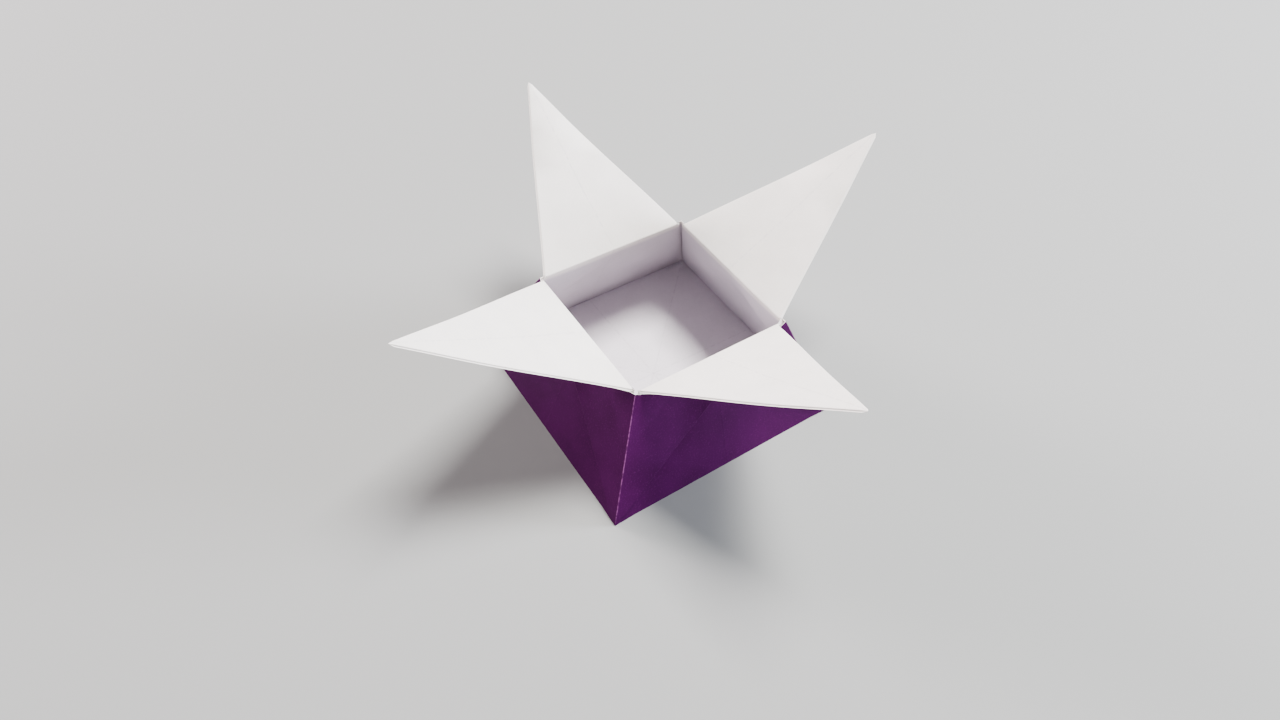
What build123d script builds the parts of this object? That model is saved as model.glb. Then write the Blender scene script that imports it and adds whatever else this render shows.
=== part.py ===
from build123d import *
import os
from math import cos, radians, sin, sqrt, tan

# A star box folded from one square of paper, coloured outside and white inside.
# The floor and the four leaning walls come out of a preliminary fold.
# At each corner the spare paper is a squashed pleat whose two facets wrap the walls.
# The sheet's four corners are the pointed flaps, hemmed under and hinged at the rim.

# Driving dimensions in millimetres and degrees
sheet_side = 150.0
paper = 0.15
layer_air = 0.10
corner_opening = 1.0
pocket_mouth = 1.2
seam_opening = 0.3
fold_bulge = 0.02
hinge_clearance = 0.12
corner_relief = 0.5
flap_rise = {"right": 31.5, "back": 32.0, "left": 29.5, "front": 25.5}

# Fold pattern on the flat sheet: the kite fold halves the 45 degrees at each corner
kite_angle = 45.0 / 2
pleat_angle = (90.0 - kite_angle) / 2
half_sheet = sheet_side / 2
ridge_length = half_sheet * tan(radians(kite_angle))
floor_side = (half_sheet - ridge_length) * sqrt(2)
wall_slant = ridge_length * cos(radians(kite_angle))
flap_length = half_sheet - wall_slant
rim_side = 2 * flap_length * tan(radians(kite_angle))
pleat_height = ridge_length * tan(radians(pleat_angle))

# Layers on a wall, as distances of their middles from the wall's own middle
lining_layer = paper + layer_air
facet_layer = 2 * lining_layer
inner_turn = lining_layer / 2
outer_turn = (lining_layer + facet_layer) / 2
turn_radius = (lining_layer + paper) / 2 + fold_bulge
crease_radius = paper / 2 + fold_bulge
floor_level = paper / 2

# Folded form: each wall leans in until its rim corners stand the opening apart
rim_reach = rim_side / 2 + corner_opening / sqrt(2)
lean_cos = (floor_side / 2 - rim_reach) / wall_slant
lean_sin = sqrt(1 - lean_cos**2)

# The wall on the +X side: x runs along the rim, y climbs the wall, z points outwards
wall_plane = Plane(
    origin=(floor_side / 2, 0, floor_level),
    x_dir=(0, 1, 0),
    z_dir=(lean_sin, 0, lean_cos),
)


def on_wall(along, climb, layer):
    """A point beside the wall, at a distance along it, up it and out from its middle."""
    return wall_plane.from_local_coords(Vector(along, climb, layer))


def plane_through(corners):
    """The plane of a flat panel, from its first three corners."""
    first_edge = corners[1] - corners[0]
    second_edge = corners[2] - corners[0]
    return Plane(origin=corners[0], x_dir=first_edge, z_dir=first_edge.cross(second_edge))


# The pleat's ridge climbs from the floor's corner to a tip just outside the rim's corner
ridge_foot = on_wall(floor_side / 2 + facet_layer * lean_sin, 0, facet_layer)
tip_diagonal = (rim_reach + rim_side / 2) / sqrt(2) + pocket_mouth
tip_run = ridge_foot.X * sqrt(2) - tip_diagonal
pleat_tip = Vector(
    tip_diagonal / sqrt(2),
    tip_diagonal / sqrt(2),
    ridge_foot.Z + sqrt(ridge_length**2 - tip_run**2),
)

# One side of the box: its flat panels, then its folds with the radius of each
wall_panel = [
    on_wall(-floor_side / 2, 0, 0),
    on_wall(floor_side / 2, 0, 0),
    on_wall(rim_side / 2, wall_slant, 0),
    on_wall(-rim_side / 2, wall_slant, 0),
]
floor_fold = (wall_panel[0], wall_panel[1], crease_radius)
rim_fold = (
    on_wall(-rim_side / 2, wall_slant, inner_turn),
    on_wall(rim_side / 2, wall_slant, inner_turn),
    turn_radius,
)
ridge_fold = (ridge_foot, pleat_tip, crease_radius)
side_panels = [wall_panel]
side_folds = [floor_fold, rim_fold, ridge_fold]
for hand in (-1, 1):
    floor_corner = hand * floor_side / 2
    rim_corner = hand * rim_side / 2
    seam_edge = hand * seam_opening / 2
    lining = [
        on_wall(floor_corner, 0, lining_layer),
        on_wall(rim_corner, wall_slant, lining_layer),
        on_wall(seam_edge, wall_slant, lining_layer),
        on_wall(seam_edge, pleat_height, lining_layer),
    ]
    facet = [
        Vector(ridge_foot.X, hand * ridge_foot.Y, ridge_foot.Z),
        on_wall(seam_edge, pleat_height, facet_layer),
        Vector(pleat_tip.X, hand * pleat_tip.Y, pleat_tip.Z),
    ]
    corner_fold = (
        on_wall(floor_corner, 0, inner_turn),
        on_wall(rim_corner, wall_slant, inner_turn),
        turn_radius,
    )
    facet_fold = (
        on_wall(floor_corner, 0, outer_turn),
        on_wall(seam_edge, pleat_height, outer_turn),
        turn_radius,
    )
    side_panels += [lining, facet]
    side_folds += [corner_fold, facet_fold]

# All pieces of a side are fused in one step, which holds for other layer gaps too
side_pieces = []
with BuildPart() as side:
    for corners in side_panels:
        panel_plane = plane_through(corners)
        with BuildSketch(panel_plane):
            with BuildLine():
                Polyline(*[panel_plane.to_local_coords(corner) for corner in corners], close=True)
            make_face()
        side_pieces.append(extrude(amount=paper / 2, both=True, mode=Mode.PRIVATE))
    for start, end, radius in side_folds:
        with BuildSketch(Plane(origin=start, z_dir=end - start)):
            Circle(radius)
        side_pieces.append(extrude(amount=(end - start).length, mode=Mode.PRIVATE))
    add(side_pieces)

with BuildPart() as box_body:
    with BuildSketch():
        Rectangle(floor_side, floor_side)
    extrude(amount=paper)
    with PolarLocations(0, 4):
        add(side.part)
    split(bisect_by=Plane.XY, keep=Keep.TOP)

box_body.part.label = "box_body"
os.makedirs("parts", exist_ok=True)
export_step(box_body.part, "parts/box_body.step")

# A flap turns about a line on the lining's outer face, and its hems lie just above that line.
# On a flap's own plane, x runs along the rim and y from the hinge to the tip.
hinge = on_wall(0, wall_slant, lining_layer + paper / 2)
hem_level = paper / 2
face_level = hem_level + lining_layer
hem_turn = hem_level + inner_turn
root = turn_radius + hinge_clearance
hinge_half_width = rim_side / 2 - corner_relief
root_half_width = hinge_half_width * (1 - root / flap_length)
seam_end = flap_length * (1 - seam_opening / 2 / hinge_half_width)
face_outline = [(-root_half_width, root), (root_half_width, root), (0, flap_length)]

for turn, (flap_name, rise) in enumerate(flap_rise.items()):
    outwards = Vector(1, 0, 0).rotate(Axis.Z, 90 * turn)
    flap_plane = Plane(
        origin=outwards * hinge.X + Vector(0, 0, hinge.Z),
        x_dir=outwards.rotate(Axis.Z, -90),
        z_dir=outwards * -sin(radians(rise)) + Vector(0, 0, cos(radians(rise))),
    )
    with BuildPart() as flap:
        with BuildSketch(flap_plane.offset(face_level)):
            with BuildLine():
                Polyline(*face_outline, close=True)
            make_face()
        extrude(amount=paper / 2, both=True)
        with BuildSketch(flap_plane.offset(hem_level)):
            for hand in (-1, 1):
                with BuildLine():
                    Polyline(
                        (hand * seam_opening / 2, root),
                        (hand * root_half_width, root),
                        (hand * seam_opening / 2, seam_end),
                        close=True,
                    )
                make_face()
        extrude(amount=paper / 2, both=True)
        tip = flap_plane.from_local_coords(Vector(0, flap_length, hem_turn))
        for hand in (-1, 1):
            start = flap_plane.from_local_coords(Vector(hand * root_half_width, root, hem_turn))
            with BuildSketch(Plane(origin=start, z_dir=tip - start)):
                Circle(turn_radius)
            extrude(amount=(tip - start).length)
    flap.part.label = f"flap_{flap_name}"
    export_step(flap.part, f"parts/flap_{flap_name}.step")
    print(flap.part.label, "hinge at", flap_plane.origin)
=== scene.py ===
# %% [markdown]
# # A star box folded from one square of paper
#
# The real box is a single sheet, deep purple on one side and white on the other.
# Nothing is cut or glued. The floor, the walls and the flaps are all the same paper, so the
# model is grown in the same way: from the floor, by pulling edges, fold by fold. Only the flaps
# are pieces of their own, because they turn on the rim.
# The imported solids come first. They fix where every crease lies, and nothing here moves them.

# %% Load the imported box
import bmesh
import bpy
from math import atan2, cos, pi, radians, sin, sqrt, tan
from mathutils import Matrix, Vector


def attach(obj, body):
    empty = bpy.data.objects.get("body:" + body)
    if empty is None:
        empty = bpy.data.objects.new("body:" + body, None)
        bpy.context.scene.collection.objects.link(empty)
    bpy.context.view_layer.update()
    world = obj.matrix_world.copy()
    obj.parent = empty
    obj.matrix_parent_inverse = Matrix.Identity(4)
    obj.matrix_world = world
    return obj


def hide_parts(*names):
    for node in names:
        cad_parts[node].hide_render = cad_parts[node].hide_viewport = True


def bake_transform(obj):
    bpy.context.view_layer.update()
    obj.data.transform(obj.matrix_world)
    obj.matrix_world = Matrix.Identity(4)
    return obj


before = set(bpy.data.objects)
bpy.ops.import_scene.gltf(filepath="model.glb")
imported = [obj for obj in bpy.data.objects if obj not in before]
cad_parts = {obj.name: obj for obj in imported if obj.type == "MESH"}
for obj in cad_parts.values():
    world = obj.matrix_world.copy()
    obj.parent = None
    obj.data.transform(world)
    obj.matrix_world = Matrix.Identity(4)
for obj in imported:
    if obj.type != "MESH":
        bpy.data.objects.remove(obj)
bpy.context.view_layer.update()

# %% [markdown]
# ## The sizes of the fold
#
# Every length follows from the sheet's side. A kite fold halves the 45 degrees at each corner,
# which sets where the floor ends, how high the walls are and how long the flaps are. What is left
# of the right angle is halved once more, and that is where a corner's pleat folds back.
# The few tenths of a millimetre below are what paper takes up when it turns back on itself.

# %% Sizes of the sheet and its folds, in metres
SHEET = 0.150
PAPER = 0.00015
LAYER = 0.00025
CORNER_OPENING = 0.001
SEAM = 0.0003
KITE = radians(22.5)
PLEAT = radians(33.75)

half_sheet = SHEET / 2
ridge_length = half_sheet * tan(KITE)
floor_half = (half_sheet - ridge_length) / sqrt(2)
wall_slant = ridge_length * cos(KITE)
flap_length = half_sheet - wall_slant
rim_half = flap_length * tan(KITE)
pleat_height = ridge_length * tan(PLEAT)
lean_cos = (floor_half - rim_half - CORNER_OPENING / sqrt(2)) / wall_slant
lean_sin = sqrt(1 - lean_cos**2)
print("floor side", round(2 * floor_half, 5), "rim side", round(2 * rim_half, 5))

# %% [markdown]
# ## Shader maths that reads like arithmetic
#
# Paper looks flat from far away, but its colour comes from layers: fibres, soft mottling and
# the worn lines where it was pressed. Each layer is a small sum, and a sum is easier to follow
# as an expression than as a web of nodes, so a socket is wrapped and taught to add and multiply.

# %% A wire between nodes
class Wire:
    """The output of a node, usable in expressions."""

    def __init__(self, recipe, socket):
        self.recipe = recipe
        self.socket = socket

    def __add__(self, other):
        return self.recipe.sum("ADD", self, other)

    def __sub__(self, other):
        return self.recipe.sum("SUBTRACT", self, other)

    def __rsub__(self, other):
        return self.recipe.sum("SUBTRACT", other, self)

    def __mul__(self, other):
        return self.recipe.sum("MULTIPLY", self, other)

    def __abs__(self):
        return self.recipe.sum("ABSOLUTE", self)

    __radd__ = __add__
    __rmul__ = __mul__


print("a wire can add, subtract, multiply and lose its sign")

# %% [markdown]
# ## A recipe for one paper finish
#
# A finish on paper is placed by the paper itself: the ridge wears and carries a painted
# highlight, the fold shows a line, the inside is painted with shade. All of that can be told
# from where a point lies on the piece, so every recipe starts from the object's own coordinates,
# and the patterns stay put when a flap turns.

# %% A recipe that adds nodes
TOWARDS_MIDDLE = (-0.012, -0.004)


class Recipe:
    """One paper finish. Everything in it reads the sheet's own coordinates."""

    def __init__(self, name):
        self.material = bpy.data.materials.new(name)
        self.material.use_nodes = True
        self.tree = self.material.node_tree
        self.shader = self.tree.nodes["Principled BSDF"]
        self.place = self.add("TexCoord", output="Object")
        parts = self.add("SeparateXYZ", inputs={0: self.place}).socket.node.outputs
        self.x, self.y, self.z = (Wire(self, parts[axis]) for axis in "XYZ")

    def add(self, kind, settings=None, inputs=None, output=0):
        """Adds a node: its settings first, then values or wires for its sockets."""
        node = self.tree.nodes.new("ShaderNode" + kind)
        for name, value in (settings or {}).items():
            setattr(node, name, value)
        for name, value in (inputs or {}).items():
            self.feed(node.inputs[name], value)
        return Wire(self, node.outputs[output])

    def feed(self, socket, value):
        if isinstance(value, Wire):
            self.tree.links.new(value.socket, socket)
        else:
            socket.default_value = value

    def sum(self, operation, *terms):
        return self.add("Math", {"operation": operation}, dict(enumerate(terms)))

    def noise(self, size, detail=3.0):
        """Soft grains of about this size in metres, from 0 to 1."""
        look = {"Vector": self.place, "Scale": 1 / size, "Detail": detail}
        return self.add("TexNoise", inputs=look)

    def between(self, value, low, high):
        """0 below low and 1 above high, with a smooth step."""
        span = {"interpolation_type": "SMOOTHSTEP"}
        return self.add("MapRange", span, {"Value": value, "From Min": low, "From Max": high})

    def near(self, distance, width):
        """1 on a line and 0 a width away from it."""
        return 1 - self.between(abs(distance), 0.0, width)

    def inward_shade_mask(self):
        """1 on faces that look towards the middle of the box, and 0 on the floor and outside. It
        marks the inner walls, which are painted darker as painted shade.
        """
        normal = self.add("NewGeometry", output="Normal")
        level = self.add("VectorMath", {"operation": "MULTIPLY"}, {0: self.place, 1: (1, 1, 0)})
        dot = {"operation": "DOT_PRODUCT"}
        away = self.add("VectorMath", dot, {0: normal, 1: level}, output="Value")
        return 1 - self.between(away, *TOWARDS_MIDDLE)

    def mix(self, factor, low, high, blend="MIX"):
        settings = {"data_type": "RGBA", "blend_type": blend}
        return self.add("Mix", settings, {0: factor, 6: low, 7: high}, output=2)

    def bump(self, height, strength, depth):
        relief = {"Height": height, "Strength": strength, "Distance": depth}
        self.feed(self.shader.inputs["Normal"], self.add("Bump", inputs=relief))


print("a recipe can add noise, lines, shading by direction, colour mixes and bump")

# %% [markdown]
# ## The white side
#
# The white side is plain uncoated paper. It has a warm tone, fine grains where the fibres catch
# the light, and faint lines left by the first folds, which run through the middle and from
# corner to corner and are painted grey as shade in the creases. Down in the box the purple back
# shows through the thin sheet as a lilac cast, and the inside is also painted a little darker as
# painted shade. The inner walls, which have two more layers behind them, are painted darker
# still, as painted shade.

# %% Colours of the white side with its painted shade, and the lines of the first folds
WARM_WHITE = (0.84, 0.80, 0.765, 1)
# the inside's colour: lilac from the purple back showing through, and darker as painted shade
INSIDE_LILAC_AND_SHADE = (0.78, 0.73, 0.78, 1)
# the inner walls' colour is painted shade, darker than the rest of the inside
WALL_PAINTED_SHADE = (0.60, 0.555, 0.60, 1)
# the crease lines' grey is painted shade in the creases
CREASE_PAINTED_SHADE = (0.50, 0.46, 0.50, 1)
CREASE_WIDTH = 0.00035
CREASE_SHADE_SHOWS = 0.3
RIM_LEVEL = 0.0262
RIM_FADE = 0.002
GRAIN_DEPTH = 0.00004


def crease_lines(recipe):
    """The lines of the first folds: through the middle both ways, and along both diagonals."""
    middle = recipe.near(recipe.x, CREASE_WIDTH) + recipe.near(recipe.y, CREASE_WIDTH)
    diagonal = recipe.near(abs(recipe.x) - abs(recipe.y), CREASE_WIDTH * sqrt(2))
    return middle, diagonal


print("crease lines are", CREASE_WIDTH * 1000, "mm wide")

# %% [markdown]
# ## Mixing the white finish
#
# One noise is the soft mottling of the sheet and a finer one is its fibres. Both go into the
# colour and into the bump, so that a fibre that looks lighter also stands higher. The lines of
# the first folds are painted grey as shade in the creases, and they are broken up by a third
# noise, because a crease that was opened again only shows here and there. A level just under
# the rim parts the warm outside from the lilac inside, which is partly the purple back showing
# through and partly painted shade. Faces that look inwards mark the walls, which get a darker
# painted shade.

# %% Make the white finish
WHITE_GLOSS = 0.25
WHITE_GRAIN = 0.35


def white_paper():
    recipe = Recipe("white_side")
    mottle = recipe.noise(0.006)
    fibres = recipe.noise(0.0005, 5.0)
    middle, diagonal = crease_lines(recipe)
    broken = recipe.between(recipe.noise(0.0012), 0.35, 0.6)
    creases = (middle + diagonal) * broken
    inside = 1 - recipe.between(recipe.z, RIM_LEVEL - RIM_FADE, RIM_LEVEL)
    # painted shade: the faces that look inwards, the inner walls, are painted darker than the box's
    # floor
    tone = recipe.mix(recipe.inward_shade_mask(), INSIDE_LILAC_AND_SHADE, WALL_PAINTED_SHADE)
    # below the rim the white is painted lilac and darker: partly the purple back showing through,
    # partly painted shade
    tone = recipe.mix(inside, WARM_WHITE, tone)
    # the crease lines are painted grey, as painted shade in the creases
    tone = recipe.mix(creases * CREASE_SHADE_SHOWS, tone, CREASE_PAINTED_SHADE)
    light = 0.93 + 0.07 * recipe.between(mottle * 0.6 + fibres * 0.4, 0.3, 0.7)
    shade = recipe.add("CombineColor", inputs={0: light, 1: light, 2: light})
    recipe.feed(recipe.shader.inputs["Base Color"], recipe.mix(1.0, tone, shade, "MULTIPLY"))
    recipe.feed(recipe.shader.inputs["Roughness"], 0.78 + 0.12 * fibres)
    recipe.bump(fibres * 0.6 + mottle * 0.8 - creases * 1.5, WHITE_GRAIN, GRAIN_DEPTH)
    recipe.shader.inputs["Specular IOR Level"].default_value = WHITE_GLOSS
    return recipe.material


white = white_paper()
print("white finish:", len(white.node_tree.nodes), "nodes")

# %% [markdown]
# ## The purple side
#
# The dye sits on top of the fibres, so the surface has a fine light speckle, and where the sheet
# is folded outwards the dye rubs off. The pleats' ridges show it best, as a pale broken line,
# and that line is also a painted highlight where the ridge catches the light. The wear and the
# highlight follow the shape: both are found from the place of the ridge.

# %% Make the purple finish
DEEP_PURPLE = (0.034, 0.0002, 0.035, 1)
BRIGHT_PURPLE = (0.042, 0.0004, 0.043, 1)
SPECKLE = (0.12, 0.015, 0.115, 1)
# the pale colour of the ridges: rubbed dye, and a painted highlight on the ridge
WORN_DYE_AND_HIGHLIGHT = (0.36, 0.11, 0.32, 1)
SPECKLE_SHOWS = 0.34
RIDGE_LINE_WIDTH = 0.0002
ABOVE_FLOOR = (0.0003, 0.0012)
PURPLE_GLOSS = 0.06
PURPLE_GRAIN = 0.4


def purple_paper():
    recipe = Recipe("purple_side")
    mottle = recipe.noise(0.009, 2.0)
    fibres = recipe.noise(0.00035, 6.0)
    grains = recipe.noise(0.00012, 2.0)
    middle, diagonal = crease_lines(recipe)
    rubbed = recipe.between(recipe.noise(0.0009, 4.0), 0.38, 0.62)
    ridge = recipe.near(abs(recipe.x) - abs(recipe.y), RIDGE_LINE_WIDTH * sqrt(2))
    ridge = ridge * recipe.between(recipe.z, *ABOVE_FLOOR)
    turned_fold = recipe.add("Attribute", {"attribute_name": "fold"}, output="Fac")
    # the pale line on the ridges is partly rubbed dye and partly a painted highlight; the folds' line
    # is wear
    wear_and_highlight = ridge * (0.10 + 0.40 * rubbed) + turned_fold * rubbed * 0.05
    speckle = recipe.between(fibres * 0.6 + grains * 0.4, 0.5, 0.72) * SPECKLE_SHOWS
    tone = recipe.mix(recipe.between(mottle, 0.3, 0.7), DEEP_PURPLE, BRIGHT_PURPLE)
    tone = recipe.mix(speckle, tone, SPECKLE)
    recipe.feed(recipe.shader.inputs["Base Color"], recipe.mix(wear_and_highlight, tone, WORN_DYE_AND_HIGHLIGHT))
    recipe.feed(recipe.shader.inputs["Roughness"], 0.60 + 0.2 * fibres)
    recipe.bump(fibres * 0.7 + grains * 0.3 + middle * 0.8, PURPLE_GRAIN, GRAIN_DEPTH)
    recipe.shader.inputs["Specular IOR Level"].default_value = PURPLE_GLOSS
    return recipe.material


purple = purple_paper()
print("purple finish:", len(purple.node_tree.nodes), "nodes")

# %% [markdown]
# ## Pulling paper out of paper
#
# An operator acts on whatever is selected, so each step starts with nothing selected and then
# picks vertices or edges by their place. Pulling a chain of points extrudes its edges and drags
# each new vertex to its goal, which is what a folder does when one more panel is turned out of
# the sheet.

# %% Drag one vertex, and pull a chain of edges
def start_fresh():
    if bpy.context.mode != "OBJECT":
        bpy.ops.object.mode_set(mode="OBJECT")
    bpy.ops.object.select_all(action="DESELECT")


def drag(sheet, index, goal):
    """Moves one vertex to its goal."""
    bpy.ops.mesh.select_all(action="DESELECT")
    mesh = bmesh.from_edit_mesh(sheet.data)
    mesh.verts.ensure_lookup_table()
    vertex = mesh.verts[index]
    vertex.select_set(True)
    bpy.ops.transform.translate(value=goal - vertex.co)


def pull(sheet, chain, goals):
    """Extrudes the edges along a chain of points and drags each new vertex to its goal."""
    bpy.ops.mesh.select_all(action="DESELECT")
    mesh = bmesh.from_edit_mesh(sheet.data)
    on_chain = [min(mesh.verts, key=lambda v, p=point: (v.co - p).length) for point in chain]
    for near, far in zip(on_chain, on_chain[1:]):
        mesh.edges.get((near, far)).select_set(True)
    bmesh.update_edit_mesh(sheet.data)
    bpy.ops.mesh.extrude_edges_move()
    mesh = bmesh.from_edit_mesh(sheet.data)
    mesh.verts.index_update()
    fresh = [vertex.index for vertex in mesh.verts if vertex.select]
    mesh.verts.ensure_lookup_table()
    pairs = []
    for point, goal in zip(chain, goals):
        nearest = min(fresh, key=lambda i: (mesh.verts[i].co - point).length)
        pairs.append((nearest, goal))
        fresh.remove(nearest)
    for index, goal in pairs:
        drag(sheet, index, goal)
    return goals


print("tools that pull: start_fresh, drag, pull")

# %% [markdown]
# ## Points beside a wall
#
# All four sides are folded alike, so a side is described once, on +X, by three numbers: how far
# along the wall, how far up its slope, and how far out from it. A turn about Z then carries the
# point to any of the four quarters. The same turn is used backwards later on, to ask where a
# vertex lies on its own side.

# %% Place a point by its side of the box
outwards = Vector((lean_sin, 0, lean_cos))


def turned(point, quarter):
    return Matrix.Rotation(quarter * pi / 2, 3, "Z") @ point


def beside_wall(along, climb, layer):
    """A point on the +X side: along the wall, up its slope and out from its middle."""
    out = floor_half - climb * lean_cos + layer * lean_sin
    return Vector((out, along, PAPER / 2 + climb * lean_sin + layer * lean_cos))


print("top of a wall:", [round(c, 5) for c in beside_wall(0, wall_slant, 0)])

# %% [markdown]
# ## A fold that turns back on itself
#
# Folded paper never has a knife edge. It rolls over in a tiny half circle and lies on itself one
# layer further out. Four short strips draw that half circle well enough for light to roll over
# it. A pressed pleat also springs open a little, so the head of a fold may stand off its wall.

# %% Roll an edge over to the next layer
TURN_STEPS = 4


def turn_back(sheet, chain, foot, head, layer, bulge, quarter, lift=0.0):
    """Rolls a fold's edge over to the next layer. Its head may stand off by a small lift."""
    for step in range(1, TURN_STEPS + 1):
        angle = pi * step / TURN_STEPS
        height = layer + LAYER / 2 * (1 - cos(angle))
        swell = LAYER / 2 * sin(angle)
        along, climb = head[0] + swell * bulge[0], head[1] + swell * bulge[1]
        goals = [
            turned(beside_wall(*foot, height), quarter),
            turned(beside_wall(along, climb, height + lift), quarter),
        ]
        chain = pull(sheet, chain, goals)
    return chain


print("a turned fold has", TURN_STEPS, "strips and lies", LAYER * 1000, "mm further out")

# %% [markdown]
# ## The floor, the walls and the squashed corners
#
# On the real box the floor is pressed flat first, and each wall then stands up from one of its
# edges. At every corner the spare paper makes a pleat: it turns back at the wall's end as a
# lining, turns again as a facet, and meets the next wall's facet on a sharp ridge. The ridge
# ends about a millimetre outside the rim's corner, which leaves a narrow pocket open there.
# Boxes laid side by side would give flat slabs that only touch. Pulling the same edges that a
# folder moves gives one surface, with its raw edges where the sheet was cut.

# %% The ridge of a pleat
POCKET_MOUTHS = [0.0011, 0.0010, 0.0008, 0.0012]
PLEAT_LIFT = 0.0007
SAME_POINT = 1e-6
ridge_foot = beside_wall(floor_half + 2 * LAYER * lean_sin, 0, 2 * LAYER)


def pleat_tip(mouth):
    """The top of a pleat's ridge on the +X +Y corner, this far outside the rim's corner."""
    diagonal = (2 * rim_half + CORNER_OPENING / sqrt(2)) / sqrt(2) + mouth
    height = sqrt(ridge_length**2 - (ridge_foot.x * sqrt(2) - diagonal) ** 2)
    return Vector((diagonal / sqrt(2), diagonal / sqrt(2), ridge_foot.z + height))


print("pleat tips stand", [round(pleat_tip(mouth).z * 1000, 2) for mouth in POCKET_MOUTHS], "mm high")

# %% [markdown]
# ## Pulling the body up
#
# A wall is pulled up from each edge of the floor, and both of its ends are folded on at once.
# The facets of two neighbouring walls end on the same ridge, so their points meet there. They
# are merged at the end, and from then on the body is one surface all the way round.

# %% Grow the body from its floor
def squash_corner(sheet, edge, hand, quarter):
    """Turns a wall's end back as a lining and again as a facet, up to the corner's ridge."""
    foot = (hand * floor_half, 0)
    head = (hand * rim_half, wall_slant)
    chain = turn_back(sheet, edge, foot, head, 0, (hand * cos(KITE), sin(KITE)), quarter)
    seam_low = (hand * SEAM / 2, pleat_height)
    seam_high = (hand * SEAM / 2, wall_slant)
    seam = [
        turned(beside_wall(*seam_low, LAYER + PLEAT_LIFT), quarter),
        turned(beside_wall(*seam_high, LAYER), quarter),
    ]
    pull(sheet, chain, seam)
    bulge = (-hand * sin(PLEAT), -cos(PLEAT))
    edge = [chain[0], seam[0]]
    chain = turn_back(sheet, edge, foot, seam_low, LAYER, bulge, quarter, PLEAT_LIFT)
    corner = quarter if hand > 0 else quarter - 1
    tip = pleat_tip(POCKET_MOUTHS[corner])
    pull(sheet, chain, [turned(ridge_foot, corner), turned(tip, corner)])


start_fresh()
bpy.ops.mesh.primitive_plane_add(size=2 * floor_half, location=(0, 0, PAPER / 2))
body = bpy.context.object
body.name = "paper_body"
bpy.ops.object.transform_apply(location=True)
bpy.ops.object.mode_set(mode="EDIT")
for quarter in range(4):
    wall_foot = [turned(beside_wall(side * floor_half, 0, 0), quarter) for side in (-1, 1)]
    wall_head = [turned(beside_wall(side * rim_half, wall_slant, 0), quarter) for side in (-1, 1)]
    pull(body, wall_foot, wall_head)
    for foot_point, head_point, hand in zip(wall_foot, wall_head, (-1, 1)):
        squash_corner(body, [foot_point, head_point], hand, quarter)
bpy.ops.mesh.select_all(action="SELECT")
bpy.ops.mesh.remove_doubles(threshold=SAME_POINT)
print("body before smoothing:", len(bmesh.from_edit_mesh(body.data).faces), "panels and strips")

# %% [markdown]
# ## Telling folds from panels
#
# A fold wears and a panel bends, so the two have to be told apart. The narrow strips of the
# folds are marked before anything is divided, while they still differ from the panels by their
# width, and the purple finish reads that mark for its wear. Only long edges are picked to be
# divided, because the strips of the folds are as fine as they need to be.

# %% Mark the folds and pick what is to be divided
FOLD_STRIP = 0.00012
LARGEST_STRIP_AREA = 1e-5


def mark_folds(sheet):
    """Stores 1 on the narrow strips that turn from layer to layer, for the wear on creases."""
    mesh = bmesh.from_edit_mesh(sheet.data)
    fold = mesh.faces.layers.float.new("fold")
    for face in mesh.faces:
        narrow = min(edge.calc_length() for edge in face.edges) < FOLD_STRIP
        face[fold] = 1.0 if narrow and face.calc_area() < LARGEST_STRIP_AREA else 0.0
    bmesh.update_edit_mesh(sheet.data)


def pick_long_edges(sheet, limit):
    """Selects the edges longer than a limit, which leaves out the narrow turns of the folds."""
    bpy.ops.mesh.select_all(action="DESELECT")
    mesh = bmesh.from_edit_mesh(sheet.data)
    for edge in mesh.edges:
        if edge.calc_length() > limit:
            edge.select_set(True)
    bmesh.update_edit_mesh(sheet.data)


print("tools that choose: mark_folds, pick_long_edges")

# %% [markdown]
# ## Fingers on the paper
#
# Real paper is never quite flat. Three small moves do what fingers do to it. A press pushes one
# place and the paper round it follows softly, which is just what proportional editing does. A
# crease lifts a whole line, with a flat slope on either side. A pinch draws all layers together
# at one point, as where a fold ends at the floor's corner.

# %% Press, crease and pinch
CREASE_ENDS = 0.97
CREASE_REACH = 0.006


def press(sheet, point, way, reach, one_layer=True):
    """Moves the vertex nearest to a point, and the paper within reach follows."""
    bpy.ops.mesh.select_all(action="DESELECT")
    mesh = bmesh.from_edit_mesh(sheet.data)
    min(mesh.verts, key=lambda v: (v.co - point).length).select_set(True)
    bmesh.update_edit_mesh(sheet.data)
    bpy.ops.transform.translate(
        value=way,
        use_proportional_edit=True,
        use_proportional_connected=one_layer,
        proportional_edit_falloff="SMOOTH",
        proportional_size=reach,
    )


def crease(sheet, start, end, way):
    """Lifts the vertices along a line, and the paper beside it follows as two flat slopes."""
    bpy.ops.mesh.select_all(action="DESELECT")
    mesh = bmesh.from_edit_mesh(sheet.data)
    line = end - start
    for vertex in mesh.verts:
        share = (vertex.co - start).dot(line) / line.length_squared
        if 0 < share < CREASE_ENDS and (vertex.co - start - share * line).length < PAPER:
            vertex.select_set(True)
    bmesh.update_edit_mesh(sheet.data)
    bpy.ops.transform.translate(
        value=way,
        use_proportional_edit=True,
        use_proportional_connected=True,
        proportional_edit_falloff="LINEAR",
        proportional_size=CREASE_REACH,
    )


def pinch(sheet, centre, reach):
    """Draws the vertices about a point together, where all layers of a fold meet."""
    bpy.ops.mesh.select_all(action="DESELECT")
    mesh = bmesh.from_edit_mesh(sheet.data)
    for vertex in mesh.verts:
        if (vertex.co - centre).length < reach:
            vertex.select_set(True)
    bmesh.update_edit_mesh(sheet.data)
    bpy.ops.mesh.merge(type="CENTER")


print("tools that bend: press, crease, pinch")

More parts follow.
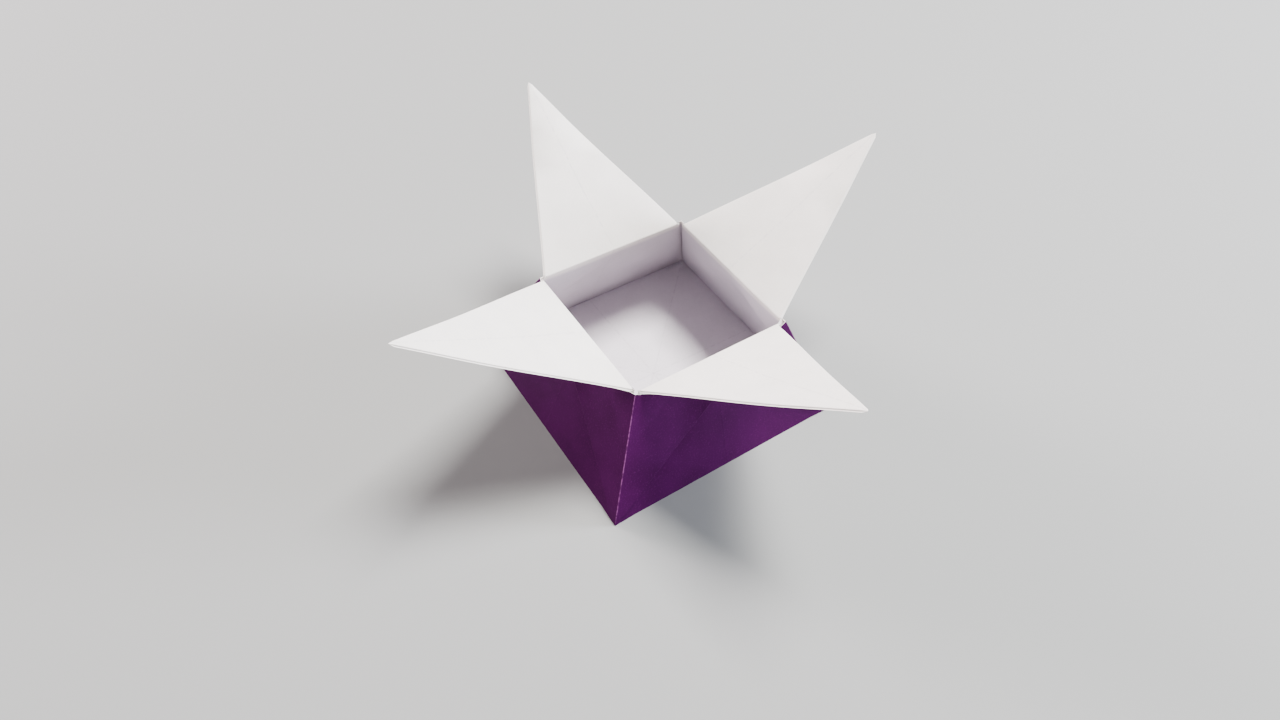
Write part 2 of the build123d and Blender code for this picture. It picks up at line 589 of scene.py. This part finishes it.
# %% [markdown]
# ## One sheet with two colours
#
# The surface so far has no thickness. It could have been drawn with two sides from the start,
# but each fold would then have to be built twice. A Solidify modifier adds the thickness last,
# and its two sides follow every bend, white on one side and purple on the other. The cut edges
# are white, as on paper that is dyed on one side only.

# %% Give a sheet its thickness and its two colours
SHARPEST_SMOOTH = radians(22)


def thicken(sheet):
    """Gives the surface its two sides: white above, purple below, and white cut edges."""
    bpy.ops.object.mode_set(mode="OBJECT")
    sheet.data.materials.append(white)
    sheet.data.materials.append(purple)
    solid = sheet.modifiers.new("paper", "SOLIDIFY")
    solid.thickness = PAPER
    solid.offset = 0
    solid.use_even_offset = True
    solid.material_offset = 1
    solid.material_offset_rim = 0
    bpy.ops.object.modifier_apply(modifier="paper")
    bpy.ops.object.shade_smooth_by_angle(angle=SHARPEST_SMOOTH)
    print(sheet.name, "has", len(sheet.data.polygons), "faces")


print("paper is", PAPER * 1000, "mm thick")

# %% [markdown]
# ## The hollows of the corners
#
# A pressed crease relaxes: the pleat stands off its wall and the facet hollows behind its fold,
# so it is dark beside the fold and light towards the ridge. Paper bends in one direction at a
# time, so a facet can only bend as part of a cone, with its point at the floor's corner.
# Weights on a Displace modifier draw that cone. All three layers of a corner are pressed by
# about as much, or one would come through the next. The cone starts a little way from the
# corner, where the layers are pinched together, and it fades out before the rim.

# %% How deep each layer is pressed
DEEPEST_HOLLOW = 0.0020
HELD_AT_RIM = (0.72, 0.98)
SOFT_FROM = (0.75, 1.0)
FLAT_FOOT = (0.05, 0.4)
FACET_HOLLOWS = {(0, -1): 1.0, (0, 1): 0.7, (1, -1): 0.8, (1, 1): 0.6,
                 (2, -1): 0.7, (2, 1): 0.8, (3, -1): 0.7, (3, 1): 1.0}


def smooth_step(value, low, high):
    share = min(max((value - low) / (high - low), 0), 1)
    return share * share * (3 - 2 * share)


def hollow_depth(share, reach, rise, pleated):
    """How deep a layer is pressed at a share of the way from its fold to the ridge.

    The pleat is bent sharply beside its fold. The wall behind it, and every layer past the
    facet's free edge (reach 1) and near the rim, is only pressed softly.
    """
    arc = 4 * share * (1 - share)
    sharp = 1 - smooth_step(reach, *SOFT_FROM) if pleated and share < 0.5 else 0
    arc = arc * sharp + arc * arc * (1 - sharp)
    return arc * (1 - smooth_step(rise, *HELD_AT_RIM))


print("a pleat a quarter of the way across:", hollow_depth(0.25, 0.5, 0.5, True), "of its depth")

# %% [markdown]
# ## Pressing the corners in
#
# Every vertex is looked at from the floor's corner of its own side. The angle says how far across
# the facet it lies, and the distance says how far up the cone. Displace moves a vertex along its
# normal. The middle layer of a corner is turned over, so its normal points the other way, and it
# gets a modifier of its own that pushes the other way round.

# %% Weight the corners as cones
def weight_corner(vertex, quarter, hand, hollow):
    """A vertex's share of the deepest hollow on one facet, or None where it isn't on it."""
    steepest = atan2(wall_slant, floor_half - rim_half)
    far_edge = 1 / cos(PLEAT)
    from_foot = turned(vertex.co, -quarter) - beside_wall(hand * floor_half, 0, 0)
    layer = from_foot.x * lean_sin + from_foot.z * lean_cos
    climb = from_foot.z * lean_sin - from_foot.x * lean_cos
    inwards = -from_foot.y * hand
    share = (atan2(climb, inwards) - PLEAT) / (steepest - PLEAT)
    if layer <= -LAYER or climb <= LAYER or not 0 < share < 1 or inwards >= floor_half:
        return None
    spread = from_foot.length / ridge_length
    reach = spread / (far_edge + share * (1 - far_edge))
    depth = hollow_depth(share, reach, climb / wall_slant, layer > 0.5 * LAYER)
    return hollow * spread * smooth_step(spread, *FLAT_FOOT) * depth


def hollow_corners(sheet):
    """Presses all three layers of each corner in, whichever side of the sheet looks out."""
    facing_in = sheet.vertex_groups.new(name="facing_in")
    facing_out = sheet.vertex_groups.new(name="facing_out")
    for vertex in sheet.data.vertices:
        for (quarter, hand), hollow in FACET_HOLLOWS.items():
            weight = weight_corner(vertex, quarter, hand, hollow)
            if weight is not None:
                white_out = turned(vertex.normal, -quarter).dot(outwards) > 0
                group = facing_out if white_out else facing_in
                group.add([vertex.index], weight, "REPLACE")
    for name, way in (("facing_in", 1), ("facing_out", -1)):
        dent = sheet.modifiers.new(name, "DISPLACE")
        dent.vertex_group = name
        dent.mid_level = 0
        dent.strength = way * DEEPEST_HOLLOW
    for name in ("facing_in", "facing_out"):
        bpy.ops.object.modifier_apply(modifier=name)


print(len(FACET_HOLLOWS), "facets, the deepest hollow is", DEEPEST_HOLLOW * 1000, "mm")

# %% [markdown]
# ## Bend and finish the body
#
# The panels are divided first, so that they have something to bend. Then the corners are hollowed
# and the layers are pinched together at the floor's corners. Each wall and the floor gets a bow
# of its own, a few tenths of a millimetre, because no two sides of a hand-folded box are alike.

# %% Divide, hollow, pinch and bow the body
PANEL_CUTS = 11
LONG_EDGE = 0.001
PINCH_REACH = 3 * LAYER
WALL_BOWS = (0.0003, 0.0004, 0.0002, 0.0003)
WALL_BOW_LEVEL = 0.55
WALL_BOW_REACH = 0.013
FLOOR_BOW = 0.0004
FLOOR_BOW_REACH = 0.029

mark_folds(body)
pick_long_edges(body, LONG_EDGE)
bpy.ops.mesh.subdivide(number_cuts=PANEL_CUTS)
bpy.ops.object.mode_set(mode="OBJECT")
hollow_corners(body)
bpy.ops.object.mode_set(mode="EDIT")
floor_corner = beside_wall(floor_half, 0, 0)
for quarter in range(4):
    pinch(body, turned((floor_corner + ridge_foot) / 2, quarter), PINCH_REACH)
wall_middle = beside_wall(0, wall_slant * WALL_BOW_LEVEL, 0)
for quarter, bow in enumerate(WALL_BOWS):
    way = turned(outwards * bow, quarter)
    press(body, turned(wall_middle, quarter), way, WALL_BOW_REACH, one_layer=False)
press(body, Vector((0, 0, PAPER / 2)), Vector((0, 0, FLOOR_BOW)), FLOOR_BOW_REACH)
thicken(body)

# %% [markdown]
# ## The four pointed flaps
#
# A flap is the sheet's own corner. Its white face runs over the rim in a tight bend, and its two
# long edges are hems: the paper turns under and meets on the centre line. The bend is part of
# the flap here. Each flap rises, sags and creases by its own amount. The crease is a little
# shorter than the rim, so that two flaps don't touch at a corner, and the right flap's is
# shorter still at one end, where the paper is bent inwards.

# %% Sizes of the flaps, and the rows of points across one
BEND_STEPS = 6
TIP_ROW = 0.0009
CORNER_RELIEF = 0.0005
BENT_END_RELIEF = 0.0012
RISES = {"right": 31.5, "back": 32.0, "left": 29.5, "front": 25.5}
TIP_SAGS = {"right": 0.0004, "back": 0.0003, "left": 0.0005, "front": 0.0004}
TIP_CREASES = {"right": 0.0002, "back": 0.0003, "left": 0.0007, "front": 0.0002}
SAG_REACH = 0.022
lining_face = LAYER + PAPER / 2
hinge = beside_wall(0, wall_slant, lining_face)


def flap_rows(rise, relief):
    """For each row from rim to tip: where it starts, which way its layers stack, its half width."""
    first = atan2(-lean_cos, -lean_sin) % (2 * pi)
    last = pi / 2 + rise
    rows = []
    for step in range(BEND_STEPS + 1):
        share = step / BEND_STEPS
        angle = first + (last - first) * share
        rows.append((hinge, Vector((cos(angle), 0, sin(angle))), rim_half - relief * share))
    along = Vector((cos(rise), 0, sin(rise)))
    face = rows[-1][1]
    rows.append((hinge + (flap_length - TIP_ROW) * along, face, TIP_ROW * tan(KITE)))
    rows.append((hinge + flap_length * along, face, 0))
    return rows


def flap_chain(rows, hand, extra_width, radius, quarter):
    """The points of one lengthwise line of the flap, from the rim to the tip."""
    across = Vector((0, 1, 0))
    return [
        turned(base + stack * radius + across * hand * (half_width + extra_width), quarter)
        for base, stack, half_width in rows
    ]


print("a flap has", len(flap_rows(0, 0)), "rows and is", round(flap_length * 1000, 1), "mm long")

# %% [markdown]
# ## The white face and its hems
#
# The face is laid first. A small grid of two faces is dragged on to the first rows of the bend,
# and the rest is pulled out of it towards the tip, in two halves that share the centre line.
# A hem is the same half circle as a pleat's fold, but it turns under the face and is then laid
# flat as far as the centre line, where it meets the hem from the other side.

# %% Lay the white face and turn a hem
def lay_face(name, left, middle, right):
    """Drags a small grid on to the first rows of the bend and pulls it out to the tip."""
    start_fresh()
    bpy.ops.mesh.primitive_grid_add(x_subdivisions=2, y_subdivisions=1, size=2 * rim_half)
    flap = bpy.context.object
    flap.name = "paper_flap_" + name
    bpy.ops.object.mode_set(mode="EDIT")
    for index, goal in enumerate([right[0], middle[0], left[0], right[1], middle[1], left[1]]):
        drag(flap, index, goal)
    for low in range(1, len(middle) - 1):
        high = low + 1
        pull(flap, [left[low], middle[low], right[low]], [left[high], middle[high], right[high]])
    bpy.ops.mesh.select_all(action="SELECT")
    bpy.ops.mesh.remove_doubles(threshold=SAME_POINT)
    return flap


def turn_hem(flap, edge, rows, hand, quarter):
    """Rolls one long edge under and lays it flat as far as the centre line."""
    chain = edge
    for step in range(1, TURN_STEPS + 1):
        angle = pi * step / TURN_STEPS
        radius = lining_face - LAYER / 2 * (1 - cos(angle))
        swell = LAYER / 2 * sin(angle) + (SEAM / 2 if step == TURN_STEPS else 0)
        chain = pull(flap, chain, flap_chain(rows, hand, swell, radius, quarter))
    seam_rows = [(base, stack, SEAM / 2) for base, stack, half_width in rows]
    seam = flap_chain(seam_rows, hand, 0, PAPER / 2, quarter)
    backwards = (seam[-2] - seam[-1]).normalized()
    seam[-1] = seam[-1] + backwards * SEAM / 2 / tan(KITE)
    pull(flap, chain, seam)


print("a hem ends", SEAM / 2 * 1000, "mm from the centre line")

# %% [markdown]
# ## Folding the flaps
#
# The same steps make all four flaps, each with its own numbers. Once a flap is hemmed and
# divided, its layers are pinched at the tip, where the two hems come to a point. The outer half
# of its centre line is lifted to a faint crease, and its middle is pressed down a little.

# %% Fold the four flaps
def fold_flap(name, quarter):
    rise = radians(RISES[name])
    right_relief = BENT_END_RELIEF if name == "right" else CORNER_RELIEF
    left_rows, right_rows = flap_rows(rise, CORNER_RELIEF), flap_rows(rise, right_relief)
    left = flap_chain(left_rows, -1, 0, lining_face, quarter)
    right = flap_chain(right_rows, 1, 0, lining_face, quarter)
    middle = [(a + b) / 2 for a, b in zip(left, right)]
    flap = lay_face(name, left, middle, right)
    turn_hem(flap, left, left_rows, -1, quarter)
    turn_hem(flap, right, right_rows, 1, quarter)
    mark_folds(flap)
    pick_long_edges(flap, LONG_EDGE)
    bpy.ops.mesh.subdivide(number_cuts=PANEL_CUTS)
    face = right_rows[-1][1]
    pinch(flap, left[-1] - turned(face, quarter) * LAYER / 2, PINCH_REACH)
    half_way = (middle[BEND_STEPS] + middle[-1]) / 2
    crease(flap, half_way, middle[-1], turned(face * TIP_CREASES[name], quarter))
    press(flap, half_way, turned(-face * TIP_SAGS[name], quarter), SAG_REACH, one_layer=False)
    thicken(flap)
    return flap, right_rows


flaps = {name: fold_flap(name, quarter) for quarter, name in enumerate(RISES)}
print("flaps folded:", ", ".join(flaps))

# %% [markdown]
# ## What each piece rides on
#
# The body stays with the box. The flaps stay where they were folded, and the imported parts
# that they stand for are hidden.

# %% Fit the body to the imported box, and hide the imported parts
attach(body, "box")
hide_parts("box_body")
for quarter, (name, (flap, rows)) in enumerate(flaps.items()):
    bend_start, bend_end = (
        turned(base + stack * lining_face, quarter)
        for base, stack, half_width in (rows[0], rows[BEND_STEPS])
    )
    name + "_flap"
    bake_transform(flap)
    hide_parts("flap_" + name)
print("pieces that ride:", 1 + len(flaps))

# %% [markdown]
# ## The floor
#
# The box stands on a plain matt floor. Its grey is darker than it looks in the picture, because
# strong lamps are needed to bring out the deep purple, and they would burn out a white floor.
# A faint sky fills the shadows, so that no fold goes quite black.

# %% Set the floor and the sky
FLOOR_SIZE = 4
FLOOR_GREY = (0.27, 0.275, 0.27, 1)
FLOOR_ROUGHNESS = 0.9
SKY_TINT = (0.9, 0.94, 1.0, 1)
SKY_STRENGTH = 0.10

start_fresh()
bpy.ops.mesh.primitive_plane_add(size=FLOOR_SIZE)
ground = bpy.context.object
ground.name = "ground"
ground_paint = bpy.data.materials.new("ground_paint")
ground_paint.use_nodes = True
ground_shader = ground_paint.node_tree.nodes["Principled BSDF"]
ground_shader.inputs["Base Color"].default_value = FLOOR_GREY
ground_shader.inputs["Roughness"].default_value = FLOOR_ROUGHNESS
ground.data.materials.append(ground_paint)

world = bpy.data.worlds.new("studio")
bpy.context.scene.world = world
world.use_nodes = True
sky = world.node_tree.nodes["Background"]
sky.inputs["Color"].default_value = SKY_TINT
sky.inputs["Strength"].default_value = SKY_STRENGTH
print("the floor is", FLOOR_SIZE, "m wide, and the sky has strength", SKY_STRENGTH)

# %% [markdown]
# ## The lamps
#
# A panel overhead lights the flaps and the middle of the box's floor. Two low windows reach in
# under the flaps and graze the walls, which makes the hollows and folds of the corners show.
# All three are broad area lamps, because a broad lamp gives a shadow a soft edge.

# %% Hang the lamps
LAMP_AIM = Vector((0, 0, 0.02))


def lamp(name, place, size, watts, tint):
    start_fresh()
    bpy.ops.object.light_add(type="AREA", location=place)
    light = bpy.context.object
    light.name = name
    light.data.size = size
    light.data.energy = watts
    light.data.color = tint
    light.rotation_euler = (LAMP_AIM - Vector(place)).to_track_quat("-Z", "Y").to_euler()
    print(name, "has", watts, "watts")


lamp("ceiling_panel", (-0.08, 0.32, 0.95), size=0.38, watts=36, tint=(1.0, 0.975, 0.95))
lamp("left_window", (-0.86, -0.46, 0.24), size=0.30, watts=26, tint=(1.0, 0.88, 0.92))
lamp("right_window", (0.42, 0.88, 0.24), size=0.30, watts=34, tint=(0.86, 0.89, 1.0))

# %% [markdown]
# ## The camera
#
# The camera's place and direction were fitted to the photograph: the corners of the rim and the
# floor and the tips of the flaps fall where they do there. A direction is easiest to give as the
# camera's own axes, to its right and to its back, and the third follows from these two.

# %% Place the camera
MILLIMETRE = 0.001
PHOTO_WIDTH = 1280
FOCAL_PIXELS = 846.6
SENSOR_WIDTH = 36
CLOSEST = 0.01
camera_place = Vector((108.1, -85.7, 163.3)) * MILLIMETRE
to_right = Vector((0.5521, 0.8322, 0.0509))
to_back = Vector((0.5258, -0.3949, 0.7534))
to_up = to_back.cross(to_right).normalized()

start_fresh()
bpy.ops.object.camera_add(location=camera_place)
camera = bpy.context.object
camera.name = "photo_camera"
camera.rotation_euler = Matrix((to_right, to_up, to_back)).transposed().to_euler()
camera.data.sensor_width = SENSOR_WIDTH
camera.data.lens = camera.data.sensor_width * FOCAL_PIXELS / PHOTO_WIDTH
camera.data.clip_start = CLOSEST
bpy.context.scene.camera = camera
print("lens:", round(camera.data.lens, 1), "mm")
